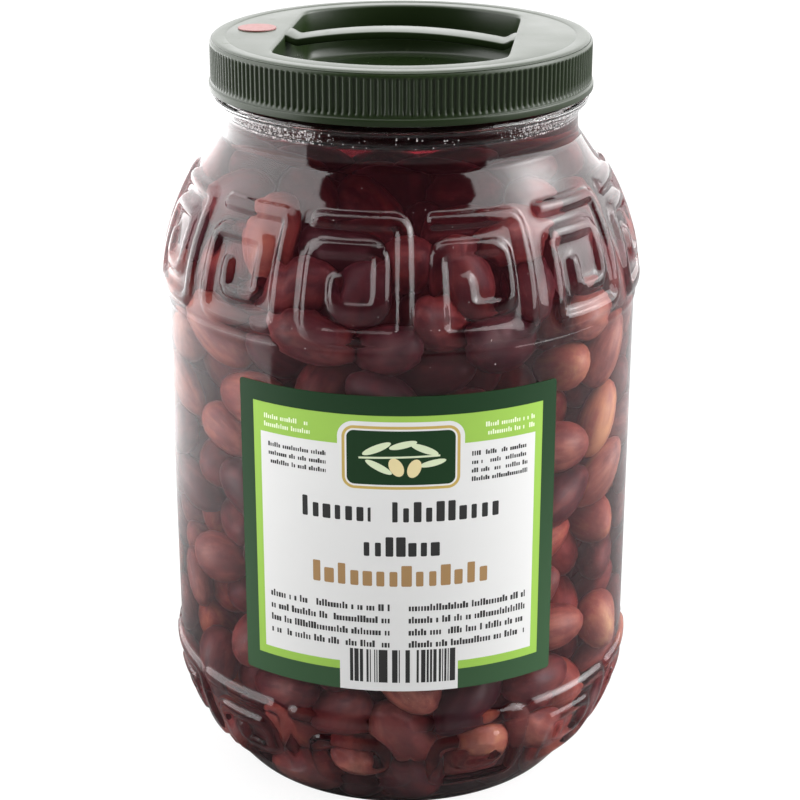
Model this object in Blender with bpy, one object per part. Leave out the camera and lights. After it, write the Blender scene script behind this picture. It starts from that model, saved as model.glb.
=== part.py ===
"""A large clear jar of olives, shut with a screw cap that has a carrying strap.

The part stands on its foot: +Z is up, the origin is the middle of the foot's plane,
and the paper label faces -Y. Sizes are metres, written as millimetres times MM.
"""

import math
import random

import bmesh
import bpy
from mathutils import Euler, Matrix, Vector

MM = 0.001

# The blown jar: a straight body that curves in to the heel below and to the neck above
BODY_RADIUS = 74.3 * MM
HEEL_HEIGHT = 42.0 * MM
HEEL_INSET = 18.6 * MM
SHOULDER_BASE = 160.0 * MM
SHOULDER_CURVE = 7.96           # inset of the shoulder for each square metre of rise, per metre
NECK_RADIUS = 55.0 * MM
NECK_BASE = 210.5 * MM
WALL = 1.2 * MM
FOOT_RECESS_RADIUS = 38.0 * MM
FOOT_RECESS_DEPTH = 3.0 * MM
FOOT_RECESS_SLOPE = 4.0 * MM
FLOOR_THICKNESS = 1.6 * MM
# Heights of the plain rows outside the bands of spirals, and of the smooth inside, going down
LOW_ROWS = (3.5, 7.5)
HIGH_ROWS = (202.5, 207.0)
INSIDE_ROWS = (205.0, 191.0, 175.0, 160.0, 42.0, 28.0, 15.0, 5.0)

# The collar under the cap, and the plain mouth that the cap hides
COLLAR_RADIUS = 58.2 * MM
COLLAR_BASE = 219.4 * MM
COLLAR_TOP = 221.6 * MM
MOUTH_RADIUS = 54.6 * MM
MOUTH_TOP = 236.0 * MM

# Raised square spirals: twelve stand round the shoulder and twelve round the heel
SPIRALS = 12
SPIRAL_LIFT = 1.6 * MM
SPIRAL_TILE = math.tau / SPIRALS
FIRST_TILE = math.radians(-25.4)
# Angles in degrees, from the tile's left edge to each edge of the upright bars
BAR_ANGLES = (2.4, 5.6, 8.8, 12.0, 19.0, 22.4, 24.4, 28.0)
FACET_ANGLES = (0.0, 8.8, 19.0, 30.0)
# Heights from the lowest edge of the lowest bar up to the top of the top bar
SHOULDER_BARS = (162.8, 167.0, 171.2, 174.4, 182.0, 187.6, 190.9, 194.6, 198.2)
HEEL_BARS = (11.5, 16.0, 19.5, 22.7, 27.2, 29.6, 33.0, 37.2, 41.0)
# Those of the rows above that the wall keeps all the way round
SHOULDER_KEPT = (0, 3, 4, 6, 8)
HEEL_KEPT = (0, 2, 4, 6, 8)
# Each bar of the spiral as (first column, last column, first row, last row) between those edges
BARS = (
    (0, 6, 7, 7),    # top bar, free at its left end
    (6, 6, 0, 7),    # right bar
    (0, 6, 0, 0),    # bottom bar
    (0, 0, 0, 5),    # left bar
    (0, 4, 5, 5),    # inner top bar
    (4, 4, 2, 5),    # inner right bar
    (2, 4, 2, 2),    # inner bottom bar
    (2, 2, 2, 3),    # short end in the middle
)

# The screw cap
CAP_TURN = math.radians(-6.5)
CAP_BASE = 223.0 * MM
CAP_TOP = 238.6 * MM
CAP_BAND_TOP = 225.0 * MM
CAP_BAND_RADIUS = 59.3 * MM
CAP_SKIRT_RADIUS = 58.3 * MM
CAP_RIB_RADIUS = 58.9 * MM
CAP_RIB_TOP = 236.9 * MM
CAP_RIBS = 180
CAP_EDGE_RADIUS = 57.2 * MM
CAP_INNER_RADIUS = 57.0 * MM
CAP_ROOF = 236.4 * MM
CAP_FACETS = 48

# The well in the cap: a round recess cut off straight on two sides, with a strap across it
WELL_RADIUS = 48.0 * MM
WELL_HALF_WIDTH = 35.0 * MM
WELL_FLOOR = 222.6 * MM
WELL_WALL = 1.3 * MM
WELL_ARC_STEPS = 9
STRAP_WIDTH = 10.6 * MM
STRAP_THICKNESS = 2.3 * MM
STRAP_END_TOP = 238.3 * MM
STRAP_DIP = 1.3 * MM
STRAP_RISE = 1.6 * MM
STRAP_DIP_SHARE = 1 / 3         # of each half of the strap, next to its end
STRAP_STEPS = 12

# The round sticker on the cap, and the paper label on the body
STICKER_RADIUS = 6.0 * MM
STICKER_THICKNESS = 0.3 * MM
STICKER_FACETS = 24
STICKER_PLACE = (-44.6 * MM, 7.5 * MM)
LABEL_BASE = 51.3 * MM
LABEL_TOP = 147.5 * MM
LABEL_LEFT = math.radians(-39.8)
LABEL_RIGHT = math.radians(38.2)
LABEL_THICKNESS = 0.35 * MM
LABEL_STEPS = 20

# The olives: whole fruit round a core that stands for the ones behind them
OLIVE_LENGTH = 25.5 * MM
OLIVE_WIDTH = 17.5 * MM
OLIVE_SPREAD = 0.12
OLIVE_SIDES = 6
OLIVE_RINGS = 3
OLIVE_ROW_STEP = 21.0 * MM
OLIVE_PITCH = 26.5 * MM
OLIVE_FIRST_ROW = 9.0 * MM
OLIVE_LAST_ROW = 199.0 * MM
OLIVE_STAGGER = 0.5             # of the pitch, in every other row
OLIVE_JITTER = 0.1              # of the pitch
OLIVE_LEAN = 0.35               # radians out of the wall's plane
CORE_INSET = 11.0 * MM
CORE_BASE = 4.8 * MM
CORE_TOP = 193.0 * MM
CORE_FACETS = 24
CORE_ROWS = (30.0, 45.0, 157.0, 180.0)
OLIVE_FACES_KEPT = 0.64

GAP = 0.3 * MM
SEED = 12


def clear_scene():
    for thing in list(bpy.data.objects):
        bpy.data.objects.remove(thing)


def make_material(name, colour, roughness, metallic=0.0, transmission=0.0):
    material = bpy.data.materials.new(name)
    material.use_nodes = True
    shader = material.node_tree.nodes["Principled BSDF"]
    shader.inputs["Base Color"].default_value = (*colour, 1.0)
    shader.inputs["Roughness"].default_value = roughness
    shader.inputs["Metallic"].default_value = metallic
    shader.inputs["Transmission Weight"].default_value = transmission
    material.diffuse_color = (*colour, 1.0)
    return material


def new_object(name, bm, collection, material=None):
    """Write a bmesh into a new object of the collection."""
    bmesh.ops.recalc_face_normals(bm, faces=bm.faces)
    mesh = bpy.data.meshes.new(name)
    bm.to_mesh(mesh)
    bm.free()
    thing = bpy.data.objects.new(name, mesh)
    collection.objects.link(thing)
    if material:
        mesh.materials.append(material)
    return thing


def new_collection(name):
    collection = bpy.data.collections.new(name)
    bpy.context.scene.collection.children.link(collection)
    return collection


def add_cutter(thing):
    thing.hide_render = True
    thing.display_type = 'WIRE'
    return thing


def apply_boolean(thing, operation, other=None, collection=None):
    """Cut or join one object with another, or with all of a collection, and remove those."""
    modifier = thing.modifiers.new(operation.title(), 'BOOLEAN')
    modifier.operation = operation
    if collection:
        modifier.operand_type = 'COLLECTION'
        modifier.collection = collection
    else:
        modifier.object = other
    depsgraph = bpy.context.evaluated_depsgraph_get()
    result = bpy.data.meshes.new_from_object(thing.evaluated_get(depsgraph))
    thing.modifiers.clear()
    thing.data = result
    for used in list(collection.objects) if collection else [other]:
        bpy.data.objects.remove(used)
    if collection:
        bpy.data.collections.remove(collection)


def turned(radius, angle, height):
    """The point at a radius, an angle from the front (-Y) towards +X, and a height."""
    return Vector((radius * math.sin(angle), -radius * math.cos(angle), height))


def skin_radius(height):
    """Radius of the jar's outer skin between its foot and the base of its neck."""
    if height < HEEL_HEIGHT:
        return BODY_RADIUS - HEEL_INSET * ((HEEL_HEIGHT - height) / HEEL_HEIGHT) ** 2
    if height > SHOULDER_BASE:
        return BODY_RADIUS - SHOULDER_CURVE * (height - SHOULDER_BASE) ** 2
    return BODY_RADIUS


def skin_normal(height):
    """Outward direction of the skin, as (radial, upward)."""
    step = 0.1 * MM
    slope = (skin_radius(height + step) - skin_radius(height - step)) / (2 * step)
    length = math.hypot(1.0, slope)
    return 1.0 / length, -slope / length


def skin_point(height, depth):
    """A point of the jar's outline, moved inwards by a depth: (radius, height)."""
    outward, upward = skin_normal(height)
    return skin_radius(height) - outward * depth, height - upward * depth


def jar_outline():
    """Stations round the cut wall of the jar, from under its foot, up, and down inside.

    Each is (radius, height, skin height or None); a skin height marks a row that can be raised.
    """
    outside = [
        (FOOT_RECESS_RADIUS, FOOT_RECESS_DEPTH, None),
        (FOOT_RECESS_RADIUS + FOOT_RECESS_SLOPE, 0.0, None),
        (skin_radius(0.0), 0.0, None),
    ]
    heights = [row * MM for row in LOW_ROWS + HEEL_BARS + SHOULDER_BARS + HIGH_ROWS]
    outside += [(skin_radius(height), height, height) for height in heights]
    neck = [
        (NECK_RADIUS, NECK_BASE),
        (NECK_RADIUS, COLLAR_BASE - GAP),
        (COLLAR_RADIUS, COLLAR_BASE),
        (COLLAR_RADIUS, COLLAR_TOP),
        (MOUTH_RADIUS, COLLAR_TOP + GAP),
        (MOUTH_RADIUS, MOUTH_TOP),
        (MOUTH_RADIUS - WALL, MOUTH_TOP),
        (MOUTH_RADIUS - WALL, NECK_BASE),
    ]
    inside = [skin_point(height * MM, WALL) for height in INSIDE_ROWS]
    floor = [
        (FOOT_RECESS_RADIUS + FOOT_RECESS_SLOPE, FLOOR_THICKNESS),
        (FOOT_RECESS_RADIUS, FOOT_RECESS_DEPTH + WALL),
    ]
    return outside + [(radius, height, None) for radius, height in neck + inside + floor]


def spiral_cells(columns, heights, rows):
    """The cells of the tile that the bars fill, as pairs of column and row numbers."""
    angles = [math.radians(angle) for angle in BAR_ANGLES]
    cells = set()
    for left, right, low, high in BARS:
        for column in range(len(columns) - 1):
            middle = (columns[column] + columns[column + 1]) / 2
            for row in range(len(heights) - 1):
                if heights[row] is None or heights[row + 1] is None:
                    continue
                level = (heights[row] + heights[row + 1]) / 2
                across = angles[left] < middle < angles[right + 1]
                if across and rows[low] * MM < level < rows[high + 1] * MM:
                    cells.add((column, row))
    return cells


def wall_tile():
    """One flat tile of the jar's wall: x is the angle, y the station and z the lift.

    Grid lines that only bound the bars are dissolved where no bar ends on them.
    """
    outline = jar_outline()
    heights = [station[2] for station in outline]
    facets = [math.radians(angle) for angle in FACET_ANGLES]
    bar_edges = [math.radians(angle) for angle in BAR_ANGLES]
    columns = sorted(set(facets + bar_edges))
    kept_rows = {SHOULDER_BARS[row] * MM for row in SHOULDER_KEPT}
    kept_rows |= {HEEL_BARS[row] * MM for row in HEEL_KEPT}
    band_rows = {row * MM for row in SHOULDER_BARS + HEEL_BARS}
    spare_rows = {row for row, height in enumerate(heights)
                  if height in band_rows and height not in kept_rows}

    bm = bmesh.new()
    across, up = len(columns) - 1, len(outline) - 1
    bmesh.ops.create_grid(bm, x_segments=across, y_segments=up, size=0.5)
    for vert in bm.verts:
        column = round((vert.co.x + 0.5) * across)
        row = round((vert.co.y + 0.5) * up)
        vert.co = Vector((columns[column], row, 0.0))

    cells = spiral_cells(columns, heights, SHOULDER_BARS) | spiral_cells(columns, heights, HEEL_BARS)
    middles = {((columns[column] + columns[column + 1]) / 2, row + 0.5) for column, row in cells}
    raised = []
    for face in bm.faces:
        centre = face.calc_center_median()
        if any(abs(centre.x - x) < 1e-5 and abs(centre.y - y) < 1e-3 for x, y in middles):
            raised.append(face)
    lifted = bmesh.ops.extrude_face_region(bm, geom=raised)
    bmesh.ops.delete(bm, geom=raised, context='FACES')
    for vert in lifted["geom"]:
        if isinstance(vert, bmesh.types.BMVert):
            vert.co.z = SPIRAL_LIFT

    def on_kept_line(edge):
        first, second = (vert.co for vert in edge.verts)
        upright = abs(first.x - second.x) < 1e-6 and any(abs(first.x - x) < 1e-5 for x in facets)
        level = abs(first.y - second.y) < 1e-6 and round(first.y) not in spare_rows
        return upright or level

    bm.normal_update()
    loose = [edge for edge in bm.edges
             if len(edge.link_faces) == 2 and not on_kept_line(edge)
             and edge.link_faces[0].normal.dot(edge.link_faces[1].normal) > 0.999]
    bmesh.ops.dissolve_edges(bm, edges=loose, use_verts=True)
    bmesh.ops.triangulate(bm, faces=bm.faces)
    return bm


def bend_tile(bm):
    """Wrap the flat tile on to the jar's outline."""
    outline = jar_outline()
    for vert in bm.verts:
        angle, row, lift = vert.co
        radius, height, skin_height = outline[round(row)]
        if lift > 0:
            outward, upward = skin_normal(skin_height)
            radius += outward * lift
            height += upward * lift
        vert.co = turned(radius, FIRST_TILE + angle, height)


def build_jar(collection, material):
    bm = wall_tile()
    bend_tile(bm)
    bmesh.ops.spin(bm, geom=bm.verts[:] + bm.edges[:] + bm.faces[:], axis=(0, 0, 1),
                   angle=math.tau - SPIRAL_TILE, steps=SPIRALS - 1, use_duplicate=True)
    bmesh.ops.remove_doubles(bm, verts=bm.verts, dist=0.01 * MM)
    open_edges = [edge for edge in bm.edges if edge.is_boundary]
    bmesh.ops.holes_fill(bm, edges=open_edges, sides=0)
    return new_object("jar", bm, collection, material)


def build_label(collection, material):
    """Thin paper round the front of the body, clear of the jar."""
    inner = BODY_RADIUS + GAP
    outer = inner + LABEL_THICKNESS
    corners = ((inner, LABEL_BASE), (outer, LABEL_BASE), (outer, LABEL_TOP), (inner, LABEL_TOP))
    bm = bmesh.new()
    section = bm.faces.new([bm.verts.new(turned(radius, LABEL_LEFT, height))
                            for radius, height in corners])
    bmesh.ops.spin(bm, geom=section.verts[:] + section.edges[:] + [section], axis=(0, 0, 1),
                   angle=LABEL_RIGHT - LABEL_LEFT, steps=LABEL_STEPS)
    return new_object("label", bm, collection, material)


def turned_solid(name, outline, facets, collection, material=None):
    """A closed solid of revolution from (radius, height) points that start and end on the axis."""
    bm = bmesh.new()
    points = [bm.verts.new(turned(radius, 0.0, height)) for radius, height in outline]
    edges = [bm.edges.new(pair) for pair in zip(points, points[1:])]
    bmesh.ops.spin(bm, geom=points + edges, axis=(0, 0, 1), angle=math.tau, steps=facets,
                   use_merge=True)
    bmesh.ops.remove_doubles(bm, verts=bm.verts, dist=0.01 * MM)
    return new_object(name, bm, collection, material)


def prism(name, outline, base, top, collection):
    """A flat outline of (x, y) points, extruded upwards."""
    bm = bmesh.new()
    face = bm.faces.new([bm.verts.new((x, y, base)) for x, y in outline])
    grown = bmesh.ops.extrude_face_region(bm, geom=[face])
    for vert in grown["geom"]:
        if isinstance(vert, bmesh.types.BMVert):
            vert.co.z = top
    return new_object(name, bm, collection)


def well_outline(radius, half_width):
    """Two arcs, at the front and the back, joined by straight sides."""
    reach = math.asin(half_width / radius)
    outline = []
    for side in (0.0, math.pi):
        for step in range(WELL_ARC_STEPS + 1):
            angle = side - reach + 2 * reach * step / WELL_ARC_STEPS
            outline.append((radius * math.sin(angle), -radius * math.cos(angle)))
    return outline


def ribbed_outline():
    """A ring of pointed ribs, one ridge and one groove to each pitch."""
    outline = []
    for step in range(2 * CAP_RIBS):
        radius = CAP_SKIRT_RADIUS if step % 2 else CAP_RIB_RADIUS
        angle = math.tau * step / (2 * CAP_RIBS)
        outline.append((radius * math.sin(angle), -radius * math.cos(angle)))
    return outline


def build_strap(collection):
    """A flat bar across the well that dips beside its ends and arches in the middle."""
    half = WELL_HALF_WIDTH + WELL_WALL / 2
    bm = bmesh.new()
    bmesh.ops.create_cube(bm, size=1.0)
    lengthwise = [edge for edge in bm.edges if abs(edge.verts[0].co.x - edge.verts[1].co.x) > 0.5]
    bmesh.ops.subdivide_edges(bm, edges=lengthwise, cuts=STRAP_STEPS - 1, use_grid_fill=True)
    for vert in bm.verts:
        along = 2 * vert.co.x
        arch = math.cos(math.pi * along / 2) ** 2
        dip = math.sin(math.pi * min(1.0, (1 - abs(along)) / STRAP_DIP_SHARE))
        top = STRAP_END_TOP + STRAP_RISE * arch - STRAP_DIP * dip
        vert.co = Vector((half * along, STRAP_WIDTH * vert.co.y,
                          top - STRAP_THICKNESS * (0.5 - vert.co.z)))
    return new_object("strap", bm, collection)


def build_lid(collection, material):
    """Skirt and roof, ribs round the skirt, then the cup of the well and the strap across it."""
    helpers = new_collection("lid_helpers")
    lid = turned_solid("lid", (
        (0.0, CAP_ROOF), (CAP_INNER_RADIUS, CAP_ROOF), (CAP_INNER_RADIUS, CAP_BASE),
        (CAP_BAND_RADIUS, CAP_BASE), (CAP_BAND_RADIUS, CAP_BAND_TOP),
        (CAP_SKIRT_RADIUS, CAP_BAND_TOP), (CAP_SKIRT_RADIUS, CAP_RIB_TOP),
        (CAP_EDGE_RADIUS, CAP_TOP), (0.0, CAP_TOP)), CAP_FACETS, collection, material)
    overlap = (CAP_SKIRT_RADIUS - CAP_INNER_RADIUS) / 2
    ribs = prism("ribs", ribbed_outline(), CAP_BAND_TOP - overlap, CAP_RIB_TOP, helpers)
    bore = turned_solid("bore", (
        (0.0, CAP_BASE - overlap), (CAP_SKIRT_RADIUS - overlap, CAP_BASE - overlap),
        (CAP_SKIRT_RADIUS - overlap, CAP_TOP), (0.0, CAP_TOP)), CAP_FACETS, helpers)
    apply_boolean(ribs, 'DIFFERENCE', add_cutter(bore))
    apply_boolean(lid, 'UNION', ribs)
    cup = prism("cup", well_outline(WELL_RADIUS + WELL_WALL, WELL_HALF_WIDTH + WELL_WALL),
                WELL_FLOOR - WELL_WALL, CAP_TOP - WELL_WALL, helpers)
    apply_boolean(lid, 'UNION', cup)
    recess = prism("recess", well_outline(WELL_RADIUS, WELL_HALF_WIDTH),
                   WELL_FLOOR, CAP_TOP + WELL_WALL, helpers)
    apply_boolean(lid, 'DIFFERENCE', add_cutter(recess))
    apply_boolean(lid, 'UNION', build_strap(helpers))
    bpy.data.collections.remove(helpers)
    lid.rotation_euler.z = CAP_TURN
    return lid


def build_sticker(collection, material):
    bm = bmesh.new()
    bmesh.ops.create_cone(bm, cap_ends=True, segments=STICKER_FACETS, radius1=STICKER_RADIUS,
                          radius2=STICKER_RADIUS, depth=STICKER_THICKNESS)
    sticker = new_object("dot_sticker", bm, collection, material)
    sticker.location = (*STICKER_PLACE, CAP_TOP + GAP + STICKER_THICKNESS / 2)
    return sticker


def olive_mesh(bm, place, length, width):
    """A pointed oval of a few sides, laid at a place."""
    made = bmesh.ops.create_uvsphere(bm, u_segments=OLIVE_SIDES, v_segments=OLIVE_RINGS, radius=0.5)
    size = Matrix.Diagonal((width, width, length, 1.0))
    bmesh.ops.transform(bm, matrix=place @ size, verts=made["verts"])


def olive_reach(axis, direction, length, width):
    """How far an olive reaches from its middle in a direction."""
    along = axis.dot(direction)
    return 0.5 * math.hypot(length * along, width * math.sqrt(max(0.0, 1 - along ** 2)))


def build_olives(collection, material):
    """A core with rows of olives fused on, each lying against the inside of the jar."""
    draw = random.Random(SEED)
    side = [skin_point(height * MM, WALL + CORE_INSET) for height in CORE_ROWS]
    core = turned_solid("olives", (
        (0.0, CORE_BASE), (side[0][0] - CORE_INSET, CORE_BASE), *side,
        (side[-1][0] - CORE_INSET, CORE_TOP), (0.0, CORE_TOP)), CORE_FACETS, collection, material)
    fruit = new_collection("fruit")
    rows = round((OLIVE_LAST_ROW - OLIVE_FIRST_ROW) / OLIVE_ROW_STEP)
    for row in range(rows + 1):
        height = OLIVE_FIRST_ROW + (OLIVE_LAST_ROW - OLIVE_FIRST_ROW) * row / rows
        outward, upward = skin_normal(height)
        count = max(1, round(math.tau * (skin_radius(height) - CORE_INSET) / OLIVE_PITCH))
        for number in range(count):
            stagger = OLIVE_STAGGER * (row % 2) + draw.uniform(-OLIVE_JITTER, OLIVE_JITTER)
            angle = math.tau * (number + stagger) / count
            scale = 1 + draw.uniform(-OLIVE_SPREAD, OLIVE_SPREAD)
            length, width = OLIVE_LENGTH * scale, OLIVE_WIDTH * scale
            lean = draw.uniform(-OLIVE_LEAN, OLIVE_LEAN)
            roll = draw.uniform(0.0, math.pi)
            turn = Matrix.Rotation(angle, 3, 'Z') @ Euler((lean, roll, 0.0)).to_matrix()
            axis = turn @ Vector((0.0, 0.0, 1.0))
            normal = turned(outward, angle, upward)
            depth = WALL + 2 * GAP + olive_reach(axis, normal, length, width)
            radius, level = skin_point(height, depth)
            lowest = CORE_BASE + olive_reach(axis, Vector((0.0, 0.0, 1.0)), length, width)
            place = Matrix.Translation(turned(radius, angle, max(level, lowest))) @ turn.to_4x4()
            bm = bmesh.new()
            olive_mesh(bm, place, length, width)
            new_object("olive", bm, fruit)
    apply_boolean(core, 'UNION', collection=fruit)
    thin = core.modifiers.new("Thin", 'DECIMATE')
    thin.ratio = OLIVE_FACES_KEPT
    return core


def main():
    clear_scene()
    part = new_collection("jar_of_olives")
    clear = make_material("clear_plastic", (0.90, 0.88, 0.88), 0.06, transmission=0.9)
    green = make_material("green_plastic", (0.035, 0.085, 0.045), 0.38)
    paper = make_material("label_paper", (0.82, 0.84, 0.80), 0.45)
    red = make_material("sticker_red", (0.55, 0.16, 0.15), 0.5)
    olive = make_material("olive_skin", (0.22, 0.055, 0.045), 0.35)
    build_jar(part, clear)
    build_lid(part, green)
    build_label(part, paper)
    build_sticker(part, red)
    build_olives(part, olive)


main()
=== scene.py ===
# %% [markdown]
# # A jar of olives
# The real thing is a wide clear plastic jar, blown in a mould, full of dark olives in brine and
# shut with a ribbed green screw cap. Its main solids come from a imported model, which stays the
# fixed frame here: the jar, the cap, the label, a round sticker and the heap of olives. This
# notebook dresses them, one piece at a time, with finer meshes and with materials.

# %% Load the frame
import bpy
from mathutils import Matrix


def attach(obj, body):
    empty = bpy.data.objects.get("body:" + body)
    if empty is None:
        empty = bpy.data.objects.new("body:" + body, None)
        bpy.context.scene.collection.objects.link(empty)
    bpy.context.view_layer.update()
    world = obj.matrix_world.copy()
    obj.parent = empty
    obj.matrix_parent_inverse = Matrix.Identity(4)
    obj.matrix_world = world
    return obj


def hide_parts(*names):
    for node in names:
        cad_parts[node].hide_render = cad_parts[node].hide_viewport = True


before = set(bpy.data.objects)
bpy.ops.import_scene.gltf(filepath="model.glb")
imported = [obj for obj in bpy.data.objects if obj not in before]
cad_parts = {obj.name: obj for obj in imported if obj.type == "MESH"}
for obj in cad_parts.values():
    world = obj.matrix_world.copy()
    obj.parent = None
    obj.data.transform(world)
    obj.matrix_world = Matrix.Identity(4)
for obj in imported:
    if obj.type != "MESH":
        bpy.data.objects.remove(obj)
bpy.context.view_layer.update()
print("nodes of the frame:", sorted(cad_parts))

# %% Other modules and the unit
import math
import bmesh
import bpy
import numpy as np
from mathutils import Matrix, Vector

MM = 0.001
SEED = 7
print("one millimetre is", MM, "units")

# %% [markdown]
# ## The camera
# The jar is seen from a little above, with its front to us. A long lens keeps the sides of the
# jar nearly parallel, as in a catalogue picture, so the camera stands more than half a metre off.

# %% Camera
camera_data = bpy.data.cameras.new("camera")
camera_data.sensor_width = 36.0
camera_data.lens = 91.42
camera = bpy.data.objects.new("camera", camera_data)
camera.location = (-0.0003, -0.6220, 0.3567)
camera.rotation_euler = (math.radians(69.0), 0.0, 0.0)
bpy.context.scene.collection.objects.link(camera)
bpy.context.scene.camera = camera
bpy.context.scene.view_settings.view_transform = "Standard"
print("camera", round((camera.location - Vector((0.0, 0.0, 0.12))).length, 3), "m from the jar")

# %% [markdown]
# ## Materials as arithmetic
# A material is a graph of nodes, and a long graph is hard to read. A wrapped socket lets the
# graph be written as a sum instead: adding two wires adds a Math node. Any other kind of node
# comes from one method, which sets its settings first and then its sockets.

# %% Wire: a socket that can be added and multiplied
class Wire:
    """A socket of a node tree, with arithmetic."""

    def __init__(self, tree, socket=None):
        self.tree = tree
        self.socket = socket

    def add(self, kind, settings=None, values=None, output=0):
        node = self.tree.nodes.new(kind)
        for name, setting in (settings or {}).items():
            if name == "stops":
                fill_ramp(node.color_ramp.elements, setting)
            else:
                setattr(node, name, setting)
        for place, value in (values or {}).items():
            if isinstance(value, Wire):
                self.tree.links.new(value.socket, node.inputs[place])
            else:
                node.inputs[place].default_value = value
        return Wire(self.tree, node.outputs[output] if node.outputs else None)

    def maths(self, operation, *values):
        return self.add("ShaderNodeMath", {"operation": operation}, dict(enumerate(values)))

    def __add__(self, other):
        return self.maths("ADD", self, other)

    def __radd__(self, other):
        return self.maths("ADD", other, self)

    def __sub__(self, other):
        return self.maths("SUBTRACT", self, other)

    def __rsub__(self, other):
        return self.maths("SUBTRACT", other, self)

    def __mul__(self, other):
        return self.maths("MULTIPLY", self, other)

    def __rmul__(self, other):
        return self.maths("MULTIPLY", other, self)

    def __truediv__(self, other):
        return self.maths("DIVIDE", self, other)

    def __abs__(self):
        return self.maths("ABSOLUTE", self)

    def __gt__(self, other):
        return self.maths("GREATER_THAN", self, other)

    def __lt__(self, other):
        return self.maths("LESS_THAN", self, other)

    def soft(self, low, high):
        """Goes smoothly from 0 at low to 1 at high."""
        return self.add("ShaderNodeMapRange", {"interpolation_type": "SMOOTHSTEP"},
                        {0: self, 1: low, 2: high, 3: 0.0, 4: 1.0})

    def between(self, low, high):
        return (self > low) * (self < high)

    def mix(self, first, second):
        """The first colour where this mask is 0, and the second where it is 1."""
        return self.add("ShaderNodeMix", {"data_type": "RGBA"}, {0: self, 6: first, 7: second}, 2)

    def ramp(self, *stops):
        return self.add("ShaderNodeValToRGB", {"stops": stops}, {0: self})


def fill_ramp(elements, stops):
    while len(elements) > 1:
        elements.remove(elements[-1])
    for number, (place, colour) in enumerate(stops):
        element = elements[0] if number == 0 else elements.new(place)
        element.position = place
        element.color = colour


def rgb(red, green, blue):
    return (red, green, blue, 1.0)


def blank(name):
    """A new material with an empty tree, as (material, wire to build from)."""
    material = bpy.data.materials.new(name)
    material.use_nodes = True
    material.node_tree.nodes.clear()
    return material, Wire(material.node_tree)


print("materials are written as expressions of Wire")

# %% Coordinates and grain that most of the materials share
def place_of(start):
    """Object coordinates as three wires, in metres."""
    where = start.add("ShaderNodeTexCoord", output="Object")
    split = where.add("ShaderNodeSeparateXYZ", values={0: where})
    node = split.socket.node
    return where, *(Wire(start.tree, node.outputs[axis]) for axis in "XYZ")


def noise(where, scale, detail=2.0, roughness=0.5):
    return where.add("ShaderNodeTexNoise", values={
        "Vector": where, "Scale": scale, "Detail": detail, "Roughness": roughness})


def bump(height, distance, strength=1.0):
    return height.add("ShaderNodeBump", values={
        "Height": height, "Distance": distance, "Strength": strength})


def surface(shader, volume=None):
    values = {"Surface": shader}
    if volume:
        values["Volume"] = volume
    shader.add("ShaderNodeOutputMaterial", values=values)


print("helpers for coordinates, noise and bump are ready")

# %% [markdown]
# ## The studio
# Products like this are shot in a white tent. Its walls glow on the left, on the right and behind,
# and the camera looks in through a dark opening. That is why the middle of the jar stays deep and
# dark while its sides wear pale reflections with straight edges. The tent is the world here, with
# a pale floor. Rays from the camera meet a plain white world.

# %% The tent, as the world's light
OPENING = (-60.5, 55.0)         # degrees from the front, towards +X: the dark opening of the tent
world = bpy.data.worlds.new("tent")
world.use_nodes = True
world.node_tree.nodes.clear()
bpy.context.scene.world = world
tent = Wire(world.node_tree)
toward = tent.add("ShaderNodeTexCoord", output="Generated")
split = toward.add("ShaderNodeSeparateXYZ", values={0: toward}).socket.node
east, north, up = (Wire(tent.tree, split.outputs[axis]) for axis in "XYZ")
azimuth = tent.maths("ARCTAN2", east, 0.0 - north) * (180.0 / math.pi)
elevation = tent.maths("ARCSINE", up) * (180.0 / math.pi)
inside = azimuth.soft(OPENING[0] - 1.6, OPENING[0] + 1.6) * (1.0 - azimuth.soft(OPENING[1] - 1.6,
                                                                                OPENING[1] + 1.6))
opening = inside * (1.0 - elevation.soft(62.0, 80.0))
rear = abs(azimuth).soft(105.0, 140.0)
lamp = tent.maths("EXPONENT", 0.0 - tent.maths("POWER", (azimuth - 93.0) / 17.0, 2.0)
                  - tent.maths("POWER", (elevation - 29.0) / 15.0, 2.0))
wall = 4.6 + lamp * 11.0
glow = (1.0 - rear) * wall + rear * 2.7
roof = elevation.soft(60.0, 75.0)
soft_ray = tent.add("ShaderNodeLightPath", output="Is Diffuse Ray")
front = 0.03 + soft_ray * 0.30
walls = (glow * (1.0 - roof) + roof * 3.2) * (1.0 - soft_ray * 0.18)
light = (1.0 - opening) * walls + opening * front
for_camera = tent.add("ShaderNodeLightPath", output="Is Camera Ray")
strength = light * (1.0 - for_camera) + for_camera
backdrop = tent.add("ShaderNodeBackground", values={"Color": rgb(1.0, 1.0, 1.0), "Strength": strength})
tent.add("ShaderNodeOutputWorld", values={"Surface": backdrop})
print("tent opening from", OPENING[0], "to", OPENING[1], "degrees")

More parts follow.
